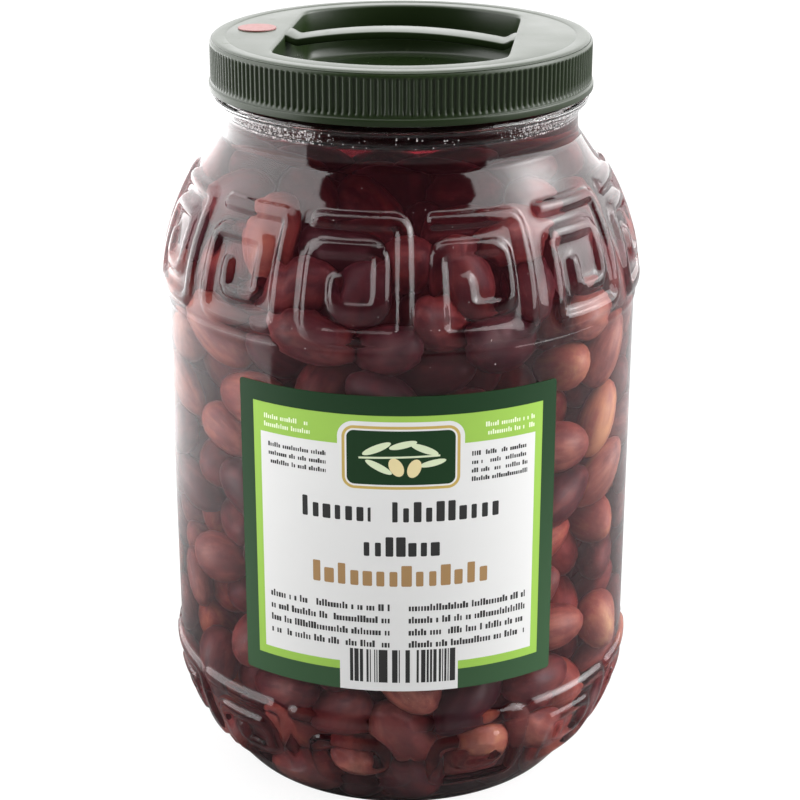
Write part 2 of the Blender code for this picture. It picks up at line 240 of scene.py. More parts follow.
# %% The floor
floor_mesh = bpy.data.meshes.new("floor")
bm = bmesh.new()
bmesh.ops.create_grid(bm, x_segments=2, y_segments=2, size=3.0)
bm.to_mesh(floor_mesh)
bm.free()
floor = bpy.data.objects.new("floor", floor_mesh)
floor.location.z = -0.2 * MM
bpy.context.scene.collection.objects.link(floor)
floor_paint, start = blank("floor_paint")
_, x, y, z = place_of(start)
around = start.maths("ARCTAN2", x, 0.0 - y) * (180.0 / math.pi)
near_front = around.soft(OPENING[0] - 1.0, OPENING[0] + 1.0) * (1.0 - around.soft(OPENING[1] - 1.0,
                                                                                  OPENING[1] + 1.0))
soft_ray = start.add("ShaderNodeLightPath", output="Is Diffuse Ray")
# Painted shade: for rays other than the camera's and the diffuse ones, the floor is dark in a wedge in
# front, so the jar's front reflects the tent's dark opening.
dark = near_front * (1.0 - soft_ray)
radius = start.maths("SQRT", x * x + y * y)
# Painted contact shadow and painted light: the floor's colour is darker near the jar and much paler on the
# left.
left = x.soft(0.1, -0.2)
lit = radius.soft(0.14, 0.36).mix(rgb(0.20, 0.20, 0.20), left.mix(rgb(0.32, 0.32, 0.32), rgb(0.7, 0.7, 0.7)))
lit = dark.mix(lit, rgb(0.14, 0.14, 0.14))
# Painted light: away from the jar and outside the front wedge, the floor glows on the left, though it is no
# lamp.
paint = start.add("ShaderNodeAddShader", values={
    0: start.add("ShaderNodeBsdfDiffuse", values={"Color": lit}),
    1: start.add("ShaderNodeEmission", values={
        "Strength": radius.soft(0.3, 0.9) * left * (1.0 - near_front) * (1.7 - soft_ray * 1.1)})})
seen = start.add("ShaderNodeAddShader", values={
    0: start.add("ShaderNodeBsdfDiffuse", values={"Color": rgb(0.12, 0.12, 0.12)}),
    1: start.add("ShaderNodeEmission", values={"Color": rgb(1.0, 1.0, 1.0), "Strength": 0.88})})
camera_ray = start.add("ShaderNodeLightPath", output="Is Camera Ray")
surface(start.add("ShaderNodeMixShader", values={0: camera_ray, 1: paint, 2: seen}))
floor_mesh.materials.append(floor_paint)
print("floor", tuple(round(side, 1) for side in floor.dimensions), "m")

# %% [markdown]
# ## Turned pieces
# The jar, the brine and the cap are all turned shapes with something extra on them. Each starts as
# a plain drum: a row of points spun round the axis, closed at both ends. Then every ring of the
# drum gets the radius and the height of its place on the outline, which runs from the middle
# underneath, out and up, over the rim and down inside. That order makes the faces point outwards.

# %% Make a drum and shape it
def drum(rings, steps, slot_of=None):
    """A grid rolled up into a closed drum, whose heights are the numbers of its rings."""
    bm = bmesh.new()
    bmesh.ops.create_grid(bm, x_segments=rings - 1, y_segments=steps, size=0.5)
    for vert in bm.verts:
        ring = round((vert.co.x + 0.5) * (rings - 1))
        turn = (vert.co.y + 0.5) * math.tau
        radius = 1.0 if 0 < ring < rings - 1 else 0.0
        vert.co = (radius * math.sin(turn), -radius * math.cos(turn), ring)
    bmesh.ops.remove_doubles(bm, verts=bm.verts, dist=1e-4)
    bmesh.ops.recalc_face_normals(bm, faces=bm.faces)
    if slot_of:
        for face in bm.faces:
            face.material_index = slot_of(face.calc_center_median().z)
    return bm


def new_piece(name, bm, *materials, sharp=None):
    """A bmesh as a smooth piece that rides on the jar."""
    mesh = bpy.data.meshes.new(name)
    bm.to_mesh(mesh)
    bm.free()
    mesh.shade_smooth()
    if sharp:
        mesh.set_sharp_from_angle(angle=math.radians(sharp))
    for material in materials:
        mesh.materials.append(material)
    piece = bpy.data.objects.new(name, mesh)
    bpy.context.scene.collection.objects.link(piece)
    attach(piece, "root")
    print(name, sum(len(face.vertices) - 2 for face in mesh.polygons), "triangles")
    return piece


def points_of(piece):
    """The points of a piece's mesh, as an array."""
    flat = np.zeros(len(piece.data.vertices) * 3)
    piece.data.vertices.foreach_get("co", flat)
    return flat.reshape(-1, 3)


def set_points(piece, points):
    piece.data.vertices.foreach_set("co", np.asarray(points, float).ravel())
    piece.data.update()


def shape_drum(piece, radius, height):
    """Gives each ring of a drum its radius and height; both may be functions of (ring, angle)."""
    points = points_of(piece)
    ring = np.rint(points[:, 2]).astype(int)
    angle = np.arctan2(points[:, 0], -points[:, 1])
    across = radius(ring, angle) if callable(radius) else np.asarray(radius)[ring]
    level = height(ring, angle) if callable(height) else np.asarray(height)[ring]
    set_points(piece, np.stack([across * np.sin(angle), -across * np.cos(angle), level], axis=1))
    return piece


def round_corners(corners, steps=4):
    """An outline of (radius, height, fillet) corners, each turned into a short curve."""
    outline = []
    for number, (radius, height, fillet) in enumerate(corners):
        if not fillet:
            outline.append((radius, height))
            continue
        here = Vector((radius, height))
        before = (Vector(corners[number - 1][:2]) - here).normalized() * fillet + here
        after = (Vector(corners[number + 1][:2]) - here).normalized() * fillet + here
        for step in range(steps + 1):
            share = step / steps
            outline.append(tuple(before.lerp(here, share).lerp(here.lerp(after, share), share)))
    return outline


print("turned pieces start from a drum")

# %% [markdown]
# ## The outline of the jar
# The body is straight, 149 mm across. Below, it curves in to the heel, and above, to the neck.
# Two curves give the radius at any height. The same outline, moved inwards, is the inside of the
# wall, the skin of the brine and the space that the olives lie in.

# %% Outline of the body
BODY_RADIUS = 74.3 * MM
HEEL_HEIGHT = 42.0 * MM
HEEL_INSET = 18.6 * MM
SHOULDER_BASE = 160.0 * MM
SHOULDER_CURVE = 7.96
NECK_RADIUS = 55.0 * MM
NECK_BASE = 210.5 * MM
WALL = 1.2 * MM


def skin_radius(height):
    """Radius of the outer skin, for one height or an array of them."""
    heel = np.maximum(0.0, (HEEL_HEIGHT - height) / HEEL_HEIGHT)
    shoulder = np.maximum(0.0, height - SHOULDER_BASE)
    return BODY_RADIUS - HEEL_INSET * heel ** 2 - SHOULDER_CURVE * shoulder ** 2


def skin_slope(height):
    heel = np.maximum(0.0, (HEEL_HEIGHT - height) / HEEL_HEIGHT)
    shoulder = np.maximum(0.0, height - SHOULDER_BASE)
    return 2 * HEEL_INSET * heel / HEEL_HEIGHT - 2 * SHOULDER_CURVE * shoulder


def skin_point(height, depth):
    """A point at a depth under the skin: (radius, height)."""
    slope = skin_slope(height)
    length = np.hypot(1.0, slope)
    return skin_radius(height) - depth / length, height + slope * depth / length


def inner_outline(depth, top):
    """From the middle of the floor, out and up to a height in the neck, at a depth in the wall."""
    heights = np.array([4, 7, 10, 14, 18, 23, 28, 33, 38, 42, 60, 80, 100, 120, 140, 157, 163, 169,
                        175, 181, 187, 193, 198, 202, 205.5]) * MM
    side = [skin_point(height, depth) for height in heights]
    floor_rings = [(0.0, 3.0 * MM + depth), (20.0 * MM, 3.0 * MM + depth),
                   (37.5 * MM, 3.0 * MM + depth), (42.5 * MM, 0.4 * MM + depth),
                   (50.0 * MM, 0.4 * MM + depth), (54.0 * MM, 1.1 * MM + depth)]
    neck = [(NECK_RADIUS - depth, NECK_BASE + 0.5 * MM), (NECK_RADIUS - depth, top)]
    return floor_rings + side + neck


print("neck", round(2 * NECK_RADIUS / MM), "mm, body", round(2 * BODY_RADIUS / MM, 1), "mm across")

# %% [markdown]
# ## The raised spirals
# Twelve square spirals stand round the shoulder and twelve round the heel, an old border pattern.
# They are part of the wall: the mould pushes it out along a path. So the wall is lifted by how
# near each point is to that path, with a rounded shoulder on each bar. The rings and columns of
# the drum crowd together at the edges of the bars, where the surface bends most.

# %% Paths of the spirals
TILE = 30.0                                             # degrees for one spiral
FIRST_TILE = -25.4                                      # degrees from the front to a tile's left edge
BAR_EDGES = (2.4, 5.6, 8.8, 12.0, 19.0, 22.4, 24.4, 28.0)
SHOULDER_EDGES = (162.8, 167.0, 171.2, 174.4, 182.0, 187.6, 190.9, 194.6, 198.2)
HEEL_EDGES = (11.5, 16.0, 19.5, 22.7, 27.2, 29.6, 33.0, 37.2, 41.0)
LEFT, SHORT, INNER, RIGHT = 4.0, 10.4, 20.7, 26.2       # middles of the upright bars, in degrees
BAND_RADIUS = 72.0 * MM


def spiral(edges, free_end):
    """Corners of a spiral's middle line, from its free end inwards: (degrees, height in mm)."""
    low, lower, upper, high = ((edges[first] + edges[first + 1]) / 2 for first in (0, 2, 5, 7))
    return [(free_end, high), (RIGHT, high), (RIGHT, low), (LEFT, low), (LEFT, upper),
            (INNER, upper), (INNER, lower), (SHORT, lower), (SHORT, edges[4] - 1.6)]


def climb(height):
    """Length of the outline from the foot up to a height."""
    heights = np.linspace(0.0, 212.0 * MM, 1061)
    steps = np.hypot(np.diff(skin_radius(heights)), np.diff(heights))
    return np.interp(height, heights, np.concatenate([[0.0], np.cumsum(steps)]))


def softened(corners, radius, steps=4):
    """The line through the corners with each inner corner rounded off."""
    corners = [Vector(corner) for corner in corners]
    line = [corners[0]]
    for before, here, after in zip(corners, corners[1:], corners[2:]):
        start = here + (before - here).normalized() * min(radius, (before - here).length / 2)
        end = here + (after - here).normalized() * min(radius, (after - here).length / 2)
        for step in range(steps + 1):
            share = step / steps
            line.append(start.lerp(here, share).lerp(here.lerp(end, share), share))
    return np.array(line + [corners[-1]])


def distance_to_line(points, line):
    best = np.full(len(points), 1.0)
    for start, end in zip(line, line[1:]):
        along = end - start
        share = np.clip((points - start) @ along / (along @ along), 0.0, 1.0)
        best = np.minimum(best, np.linalg.norm(points - start - share[:, None] * along, axis=1))
    return best


lines = []
for edges, free_end in ((SHOULDER_EDGES, LEFT), (HEEL_EDGES, -0.6)):
    corners = [(math.radians(turn) * BAND_RADIUS, float(climb(height * MM)))
               for turn, height in spiral(edges, free_end)]
    lines.append(softened(corners, 4.0 * MM))
print("spirals of", [len(line) for line in lines], "points")

# %% Lift of the wall
BAR_LIFT = 1.5 * MM
BAR_CREST = 0.8 * MM                                    # half the width of a bar's crest
BAR_REACH = 3.2 * MM                                    # from a bar's middle to the foot of its flank


def smooth_step(value):
    value = np.clip(value, 0.0, 1.0)
    return value * value * (3.0 - 2.0 * value)


def wall_lift(angle, height):
    """How far the mould pushes the wall out at an angle and a height."""
    turn = np.radians(np.mod(np.degrees(angle) - FIRST_TILE, TILE)) * BAND_RADIUS
    tile = math.radians(TILE) * BAND_RADIUS
    length = climb(height)
    nearest = np.full(len(angle), 1.0)
    for line in lines:
        reach = 6.0 * MM
        band = (length > line[:, 1].min() - reach) & (length < line[:, 1].max() + reach)
        for shift in (-tile, 0.0, tile):
            points = np.stack([turn[band] + shift, length[band]], axis=1)
            nearest[band] = np.minimum(nearest[band], distance_to_line(points, line))
    bar = BAR_LIFT * smooth_step((BAR_REACH - nearest) / (BAR_REACH - BAR_CREST))
    bead = 0.5 * MM * np.exp(-((height - 159.3 * MM) / (1.3 * MM)) ** 2)
    ledge = 0.35 * MM * smooth_step((202.0 * MM - height) / (3.6 * MM)) * (height > 161 * MM)
    ring = 0.06 * MM * np.exp(-((height - 207.2 * MM) / (1.2 * MM)) ** 2)
    return bar + bead + ledge + ring


def crowded(low, high, marks, fine, coarse):
    """Positions from low to high that crowd round the marks."""
    places = {low, high}
    places.update(mark + share * fine for mark in marks for share in (-1.5, -0.5, 0.5, 1.5))
    places = sorted(place for place in places if low <= place <= high)
    filled = [places[0]]
    for start, end in zip(places, places[1:]):
        parts = max(1, math.ceil((end - start) / coarse - 0.01))
        filled += [start + (end - start) * part / parts for part in range(1, parts + 1)]
    return filled


TILE_COLUMNS = crowded(0.0, TILE, BAR_EDGES, 0.64, 1.5)[:-1]
print(len(TILE_COLUMNS), "columns for each spiral")

# %% The jar's rings
LEVEL = 215.0 * MM                                      # where the brine stands


def jar_rings():
    """Rings as (radius, height) from under the foot round to the inner floor, as foot, wall, rim and inside;
    the mould lifts the wall.
    """
    foot = round_corners([
        (0.0, 3.0 * MM, 0), (20.0 * MM, 3.0 * MM, 0), (38.0 * MM, 3.0 * MM, 1.2 * MM),
        (42.0 * MM, 0.0, 1.2 * MM), (56.2 * MM, 0.0, 2.6 * MM), (59.5 * MM, 5.2 * MM, 0)], 3)[:-1]
    rows = crowded(5.0, 44.0, HEEL_EDGES, 0.5, 1.8) + [48, 75, 100, 125, 150, 155]
    rows += [157.0, 157.9, 158.6, 159.3, 160.0, 160.8]
    rows += crowded(161.8, 199.4, SHOULDER_EDGES, 0.5, 1.8)
    rows += [199.9, 200.5, 201.2, 202.5, 204.0, 205.5, 206.4, 207.2, 208.0]
    wall = [(float(skin_radius(row * MM)), row * MM) for row in rows]
    rim = round_corners([
        (float(skin_radius(208.6 * MM)), 208.6 * MM, 0), (NECK_RADIUS, 211.0 * MM, 1.4 * MM),
        (NECK_RADIUS, 216.8 * MM, 1.6 * MM), (58.1 * MM, 219.6 * MM, 1.6 * MM),
        (58.2 * MM, 221.6 * MM, 0.9 * MM), (54.6 * MM, 221.9 * MM, 0.4 * MM),
        (54.6 * MM, 236.0 * MM, 0.5 * MM), (53.4 * MM, 236.0 * MM, 0.5 * MM),
        (53.4 * MM, 222.2 * MM, 1.2 * MM), (56.8 * MM, 220.8 * MM, 0.7 * MM),
        (56.8 * MM, 219.9 * MM, 0.7 * MM), (NECK_RADIUS - WALL, 217.2 * MM, 1.6 * MM),
        (NECK_RADIUS - WALL, LEVEL, 0)], 3)
    inside = inner_outline(WALL, LEVEL)[::-1][1:]
    return foot, wall, rim, inside


foot, wall, rim, inside_rings = jar_rings()
rings = foot + wall + rim + inside_rings
lifted = np.zeros(len(rings), bool)
lifted[len(foot):len(foot) + len(wall)] = True
first_wet = len(foot) + len(wall) + len(rim) - 1
print(len(rings), "rings, of which", int(lifted.sum()), "are lifted by the mould")

# %% [markdown]
# ## Clear plastic
# The jar is clear, glossy and slightly wavy. A Principled shader with full transmission bends
# light as the plastic and the brine do together, so the skin of the jar does all the bending.
# Where brine wets the inside of the wall, plastic and brine bend light nearly alike, and no
# reflection shows. That part of the wall is clear, with a trace of wine red haze, because the
# brine is a little cloudy. Light from the lamps goes straight through, by a switch on the kind of
# ray, or the olives would be lit by noise.

# %% Material of the jar
def let_light_in(shader, tint):
    """The shader for what we see, and a clear one for rays that carry light to what is inside."""
    clear = shader.add("ShaderNodeBsdfTransparent", values={"Color": tint})
    for kind in ("Is Diffuse Ray", "Is Shadow Ray"):
        ray = shader.add("ShaderNodeLightPath", output=kind)
        shader = shader.add("ShaderNodeMixShader", values={0: ray, 1: shader, 2: clear})
    return shader


jar_plastic, start = blank("clear_jar_plastic")
where, x, y, z = place_of(start)
waves = noise(where, 38.0, 1.0)
scuffs = noise(where, 420.0, 3.0, 0.6)
rubbed = scuffs.soft(0.56, 0.72)
shader = start.add("ShaderNodeBsdfPrincipled", values={
    "Base Color": rgb(1.0, 1.0, 1.0), "Transmission Weight": 1.0, "IOR": 1.42,
    "Roughness": 0.03 + rubbed * 0.07, "Normal": bump(waves, 0.6 * MM, 0.5)})
surface(let_light_in(shader, rgb(0.94, 0.93, 0.93)))

wet_plastic, start = blank("wet_inner_wall")
haze = start.add("ShaderNodeBsdfDiffuse", values={"Color": rgb(0.48, 0.11, 0.15)})
clear = start.add("ShaderNodeBsdfTransparent", values={"Color": rgb(1.0, 1.0, 1.0)})
surface(start.add("ShaderNodeMixShader", values={0: 0.026, 1: clear, 2: haze}))
print("the jar has", jar_plastic.name, "and", wet_plastic.name)

# %% Build the jar
steps = 12 * len(TILE_COLUMNS)
bm = drum(len(rings), steps, lambda ring: int(ring > first_wet))
jar = new_piece("blown_jar", bm, jar_plastic, wet_plastic)
columns = np.array([tile * TILE + turn for tile in range(12) for turn in TILE_COLUMNS])


def crowd_columns(angle):
    """Turns the even columns of the drum into the crowded ones."""
    number = np.rint(np.mod(angle, math.tau) / math.tau * steps).astype(int) % steps
    return np.radians(columns[number] + FIRST_TILE)


points = points_of(jar)
ring = np.rint(points[:, 2]).astype(int)
angle = crowd_columns(np.arctan2(points[:, 0], -points[:, 1]))
radius = np.array([radius for radius, _ in rings])[ring]
height = np.array([height for _, height in rings])[ring]
lift = np.where(lifted[ring], wall_lift(angle, height), 0.0)
slope = skin_slope(height)
length = np.hypot(1.0, slope)
radius = radius + lift / length
height = height - slope * lift / length
set_points(jar, np.stack([radius * np.sin(angle), -radius * np.cos(angle), height], axis=1))
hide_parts("jar")
print("jar", [round(side / MM, 1) for side in jar.dimensions], "mm")

# %% [markdown]
# ## Brine
# Olives stain their brine a thin wine red. What we see is light that has lost its green and blue
# on the way, more the longer the way, so the brine is a clear body with absorption inside. It
# reaches a little into the wall, so that no air shows between them, and climbs the wall at its
# rim. Its sides don't bend light, since the skin of the jar already does. Its top is partly
# covered by a dark sheet of painted shade, for the shade under the cap.

# %% Material and mesh of the brine
BRINE_DEPTH = WALL - 0.4 * MM
BRINE_TINT = (0.66, 0.23, 0.31, 1.0)
BRINE_DENSITY = 55.0


def brine_material(name, index, painted_shade_share):
    material, start = blank(name)
    shader = start.add("ShaderNodeBsdfPrincipled", values={
        "Base Color": rgb(1.0, 1.0, 1.0), "Transmission Weight": 1.0, "Roughness": 0.0, "IOR": index})
    volume = start.add("ShaderNodeVolumeAbsorption", values={
        "Color": BRINE_TINT, "Density": BRINE_DENSITY})
    # The dark diffuse sheet mixed into the top is painted shade, for the shade under the cap.
    dark = start.add("ShaderNodeBsdfDiffuse", values={"Color": rgb(0.020, 0.006, 0.008)})
    clear = let_light_in(shader, rgb(1.0, 1.0, 1.0))
    surface(start.add("ShaderNodeMixShader", values={0: painted_shade_share, 1: clear, 2: dark}), volume)
    return material


side = inner_outline(BRINE_DEPTH, LEVEL + 1.3 * MM)
rim_radius = NECK_RADIUS - BRINE_DEPTH
top = [(rim_radius - inset * MM, LEVEL + 1.3 * MM * math.exp(-inset / 0.9))
       for inset in (0.6, 1.0, 1.5, 2.2, 3.2, 5.0)]
brine_rings = side + top + [(30.0 * MM, LEVEL), (0.0, LEVEL)]
bm = drum(len(brine_rings), 192, lambda ring: int(ring > len(side) - 1))
brine = new_piece("brine", bm, brine_material("brine_side", 1.0, 0.0),
                  brine_material("brine_top", 1.05, 0.65))
shape_drum(brine, *zip(*brine_rings))
print("brine stands", round(LEVEL / MM), "mm high")

# %% [markdown]
# ## Froth and droplets
# Jars get shaken on their way, so the inside of the neck is wet with small drops above the brine.
# Each drop is a ball of a few faces, pressed flat against the wall. There are fewer in front, and
# the light from the sides makes those on the left and the right sparkle. Some air bubbles also
# cling to the inside of the shoulder, down in the brine.

# %% Build the droplets
draw = np.random.default_rng(SEED + 2)
DROPLETS = 4200
drop_bm = bmesh.new()
bmesh.ops.create_icosphere(drop_bm, subdivisions=1, radius=1.0)
drop = np.array([vert.co for vert in drop_bm.verts])
drop_faces = [[vert.index for vert in face.verts] for face in drop_bm.faces]
drop_bm.free()
drop_points = []
for _ in range(DROPLETS):
    size = 0.14 + 0.42 * draw.beta(1.1, 4.5)
    turn = draw.uniform(-math.pi, math.pi)
    level = 215.4 + 4.6 * draw.beta(1.0, 1.1)
    wetness = 0.03 + 0.97 * smooth_step((abs(turn - 0.1) - 0.40) / 0.35)
    if draw.random() > wetness:
        continue
    outwards = np.array([math.sin(turn), -math.cos(turn), 0.0])
    sideways = np.array([math.cos(turn), math.sin(turn), 0.0])
    frame_of_drop = np.stack([sideways * size, outwards * size * 0.55,
                              np.array([0.0, 0.0, size * draw.uniform(0.9, 1.3)])])
    cling = NECK_RADIUS / MM - 1.25 + max(0.0, level - 217.2) * 1.1
    middle = outwards * cling + np.array([0.0, 0.0, level])
    drop_points.append((drop @ frame_of_drop + middle) * MM)
BUBBLES = 160
for _ in range(BUBBLES):
    size = 0.10 + 0.2 * draw.beta(1.1, 4.0)
    turn = draw.uniform(-math.pi, math.pi)
    radius, level = skin_point(draw.uniform(0.155, 0.207), WALL + 0.35 * MM)
    middle = np.array([radius * math.sin(turn), -radius * math.cos(turn), level])
    drop_points.append(drop * size * MM + middle)
froth_mesh = bpy.data.meshes.new("froth")
froth_mesh.from_pydata(np.concatenate(drop_points), [], [
    [corner + number * len(drop) for corner in face]
    for number in range(len(drop_points)) for face in drop_faces])
froth_bm = bmesh.new()
froth_bm.from_mesh(froth_mesh)
bmesh.ops.recalc_face_normals(froth_bm, faces=froth_bm.faces)
wet_drop, start = blank("wet_droplet")
shine = start.add("ShaderNodeBsdfPrincipled", values={
    "Base Color": rgb(0.85, 0.81, 0.81), "Roughness": 0.15, "IOR": 1.34, "Transmission Weight": 0.35})
surface(let_light_in(shine, rgb(1.0, 1.0, 1.0)))
froth = new_piece("neck_froth", froth_bm, wet_drop)

# %% [markdown]
# ## Olives
# Hundreds of olives lie as they fell. Placing them by hand would look like a pattern, so
# they are grown: each starts small somewhere in the jar, as three balls on a short stick, and
# all swell together while they push each other and the wall away. Only those near the wall and
# near the top can be seen, so the rest give way to a dark core.

# %% Let the olives find their places
OLIVES = 560
OLIVE_LENGTH = 25.0
OLIVE_WIDTH = 16.4
HEAP_TOP = 204.0
FRONT_SAG = 16.0
SHOULDER_GAP = 6.0

hollow = np.array(inner_outline(WALL + 0.25 * MM, 212 * MM)) / MM
side_heights = hollow[5:, 1]
side_radii = hollow[5:, 0] - SHOULDER_GAP * smooth_step((hollow[5:, 1] - 162) / 16)


def hollow_radius(height):
    return np.interp(height, side_heights, side_radii)


def heap_top(x, y):
    """The heap is lower towards the front of the jar."""
    angle = np.degrees(np.arctan2(x, -y))
    return HEAP_TOP - FRONT_SAG * np.exp(-(angle / 55) ** 2) * np.minimum(1.0, np.hypot(x, y) / 40)


def scatter(draw):
    """Random places in the hollow, in millimetres."""
    places = []
    while len(places) < OLIVES:
        place = np.array([draw.uniform(-66, 66), draw.uniform(-66, 66), draw.uniform(12, 198)])
        if np.hypot(*place[:2]) < hollow_radius(place[2]) - 8:
            places.append(place)
    return np.array(places)


def near_pairs(places, reach):
    gap = np.linalg.norm(places[:, None] - places[None, :], axis=2)
    first, second = np.nonzero(np.triu(gap < reach, 1))
    return first, second


def grow_olives(rounds=420):
    draw = np.random.default_rng(SEED)
    places = scatter(draw)
    axes = draw.normal(size=(OLIVES, 3))
    axes /= np.linalg.norm(axes, axis=1)[:, None]
    size = 1 + draw.normal(0.0, 0.055, OLIVES).clip(-0.13, 0.13)
    widths = OLIVE_WIDTH * size * (1 + draw.normal(0.0, 0.03, OLIVES))
    lengths = OLIVE_LENGTH * size * (1 + draw.normal(0.0, 0.04, OLIVES))
    for turn in range(rounds):
        grown = min(1.0, 0.5 + 0.5 * turn / (0.62 * rounds))
        middle = widths / 2 * grown
        end = middle * 0.66
        offset = lengths / 2 * grown - end
        balls = places[:, None] + np.array([-1, 0, 1])[None, :, None] * (axes * offset[:, None])[:, None]
        radii = np.stack([end, middle, end], axis=1)
        if turn % 6 == 0:
            first, second = near_pairs(places, 31.0 * grown)
        push = np.zeros_like(balls)
        gap = balls[first][:, :, None] - balls[second][:, None, :]
        distance = np.linalg.norm(gap, axis=3) + 1e-6
        overlap = np.maximum(0.0, radii[first][:, :, None] + radii[second][:, None, :] - distance)
        shove = gap / distance[..., None] * (overlap * 0.45)[..., None]
        np.add.at(push, first, shove.sum(2))
        np.add.at(push, second, -shove.sum(1))
        across = np.hypot(balls[..., 0], balls[..., 1]) + 1e-6
        over = np.maximum(0.0, across + radii * 1.02 - hollow_radius(balls[..., 2]))
        push[..., 0] -= balls[..., 0] / across * over
        push[..., 1] -= balls[..., 1] / across * over
        bottom = np.where(across < 40, 4.6, 2.2)
        push[..., 2] += np.maximum(0.0, bottom + radii - balls[..., 2])
        top = heap_top(balls[..., 0], balls[..., 1])
        push[..., 2] -= np.maximum(0.0, balls[..., 2] + radii - top)
        places = places + push.sum(1) * 0.55
        axes = axes + (push[:, 2] - push[:, 0]) * (0.5 / offset)[:, None]
        axes /= np.linalg.norm(axes, axis=1)[:, None]
    return places, axes, lengths, widths, float(overlap.max())


places, axes, lengths, widths, worst = grow_olives()
depth = np.minimum(hollow_radius(places[:, 2]) - np.hypot(places[:, 0], places[:, 1]),
                   HEAP_TOP - places[:, 2])
shown = np.nonzero(depth < 35.0)[0]
print(len(shown), "olives of", OLIVES, "can be seen; they press into each other by at most",
      round(worst, 2), "mm")

# %% [markdown]
# An olive is a plump oval, a little pointed at its far end, and no two are quite alike. Each is
# a small ball that is stretched, pointed and bent a little. Its points also carry, for the
# material, how ripe the olive is plus painted light and shade, and where on the ball they lie.
# Painted shade makes those in front and on the shoulder the darkest, and painted light makes
# those at the sides and the heel the palest.

# %% Shape the olives
ball_bm = bmesh.new()
bmesh.ops.create_uvsphere(ball_bm, u_segments=16, v_segments=10, radius=1.0)
ball = np.array([vert.co for vert in ball_bm.verts])
ball_faces = [[vert.index for vert in face.verts] for face in ball_bm.faces]
ball_bm.free()


def olive_points(place, axis, length, width, draw):
    """A ball stretched, pointed and bent a little, then laid at its place."""
    x, y, z = ball.T
    flat = 1 + draw.normal(0.0, 0.035)
    bend = draw.normal(0.0, 0.035) * width
    wave = 0.018 * np.sin(3 * z + draw.uniform(0.0, math.tau))
    swell = 1 + draw.uniform(-0.08, 0.08) * z - 0.10 * np.maximum(0.0, z - 0.55) + wave
    tip = 0.23 * np.maximum(0.0, z - 0.7)
    local = np.stack([x * swell * flat * width / 2 + bend * (1 - z * z),
                      y * swell / flat * width / 2, (z + tip) * length / 2 * 0.985], axis=1)
    turn = Vector(axis).to_track_quat('Z', 'Y').to_matrix() @ Matrix.Rotation(
        draw.uniform(0.0, math.tau), 3, 'Z')
    return (local @ np.array(turn).T + place) * MM


draw = np.random.default_rng(SEED + 1)
olive_mesh_points = np.concatenate([
    olive_points(places[number], axes[number], lengths[number], widths[number], draw)
    for number in shown])
olive_faces = [[corner + number * len(ball) for corner in face]
               for number in range(len(shown)) for face in ball_faces]
olives_mesh = bpy.data.meshes.new("olives")
olives_mesh.from_pydata(olive_mesh_points, [], olive_faces)
side = np.abs(np.degrees(np.arctan2(places[shown, 0], -places[shown, 1])))
# Painted light and shade by place: olives at the sides and the heel are made paler, those in front and on
# the shoulder darker, as the light falls.
paler = 0.34 * smooth_step((side - 18) / 36) - 0.12
paler += 0.20 * smooth_step((48 - places[shown, 2]) / 20) - 0.10 * smooth_step((places[shown, 2] - 160) / 15)
ripeness_and_painted_light = np.repeat(draw.beta(2.0, 2.4, len(shown)) + paler, len(ball))
olives_mesh.attributes.new("ripeness_and_painted_light", 'FLOAT', 'POINT').data.foreach_set("value", ripeness_and_painted_light)
shift = draw.uniform(0.0, 90.0, (len(shown), 1, 3))
own_place = (ball[None, :, :] + shift).astype(np.float32).ravel()
olives_mesh.attributes.new("own_place", 'FLOAT_VECTOR', 'POINT').data.foreach_set("vector", own_place)
olives_bm = bmesh.new()
olives_bm.from_mesh(olives_mesh)
print("olives have", len(olives_bm.verts), "points")

# %% [markdown]
# Their skin is smooth, wet and mottled: purple black where it is ripest, and wine brown to tan
# elsewhere, with painted light and shade by the olive's place on top. Under brine it has no hard
# shine, because brine and skin bend light alike.

# %% Material of the olives
olive_skin, start = blank("olive_skin")
where, x, y, z = place_of(start)
ripe_and_painted_light = start.add("ShaderNodeAttribute", {"attribute_name": "ripeness_and_painted_light"}, output="Fac")
own_place = start.add("ShaderNodeAttribute", {"attribute_name": "own_place"}, output="Vector")
streaks = noise(start.add("ShaderNodeVectorMath", {"operation": "MULTIPLY"}, {
    0: own_place, 1: (2.6, 2.6, 0.7)}), 1.0, 3.0, 0.6)
mottle = noise(where, 95.0, 3.0, 0.55)
# The tone carries ripeness together with the painted light and shade by place.
tone = ripe_and_painted_light * 0.7 + (streaks - 0.5) * 0.50 + (mottle - 0.5) * 0.55
colour = tone.ramp((0.0, rgb(0.022, 0.006, 0.010)), (0.22, rgb(0.060, 0.014, 0.017)),
                   (0.45, rgb(0.155, 0.042, 0.037)), (0.68, rgb(0.32, 0.120, 0.082)),
                   (0.9, rgb(0.50, 0.26, 0.13)))
shader = start.add("ShaderNodeBsdfPrincipled", values={
    "Base Color": colour, "Roughness": 0.30 + mottle * 0.16, "Specular IOR Level": 0.3,
    "Normal": bump(streaks + mottle, 0.25 * MM, 0.4)})
surface(shader)
olives = new_piece("whole_olives", olives_bm, olive_skin)
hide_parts("olives")

core_rings = [(0.0, 30.0 * MM)]
core_rings += [(float(hollow_radius(height) - 33.0) * MM, height * MM) for height in range(34, 178, 12)]
core_rings += [(0.0, 176.0 * MM)]
core = new_piece("olive_core", drum(len(core_rings), 64), olive_skin)
shape_drum(core, *zip(*core_rings))
points = points_of(core)
lumps = np.sin(points[:, 0] * 420) * np.sin(points[:, 1] * 390 + 1) * np.sin(points[:, 2] * 360)
set_points(core, points * (1 + 0.08 * lumps[:, None]) * np.array([1, 1, 0]) + points * [0, 0, 1])
print("core", [round(side / MM) for side in core.dimensions], "mm")

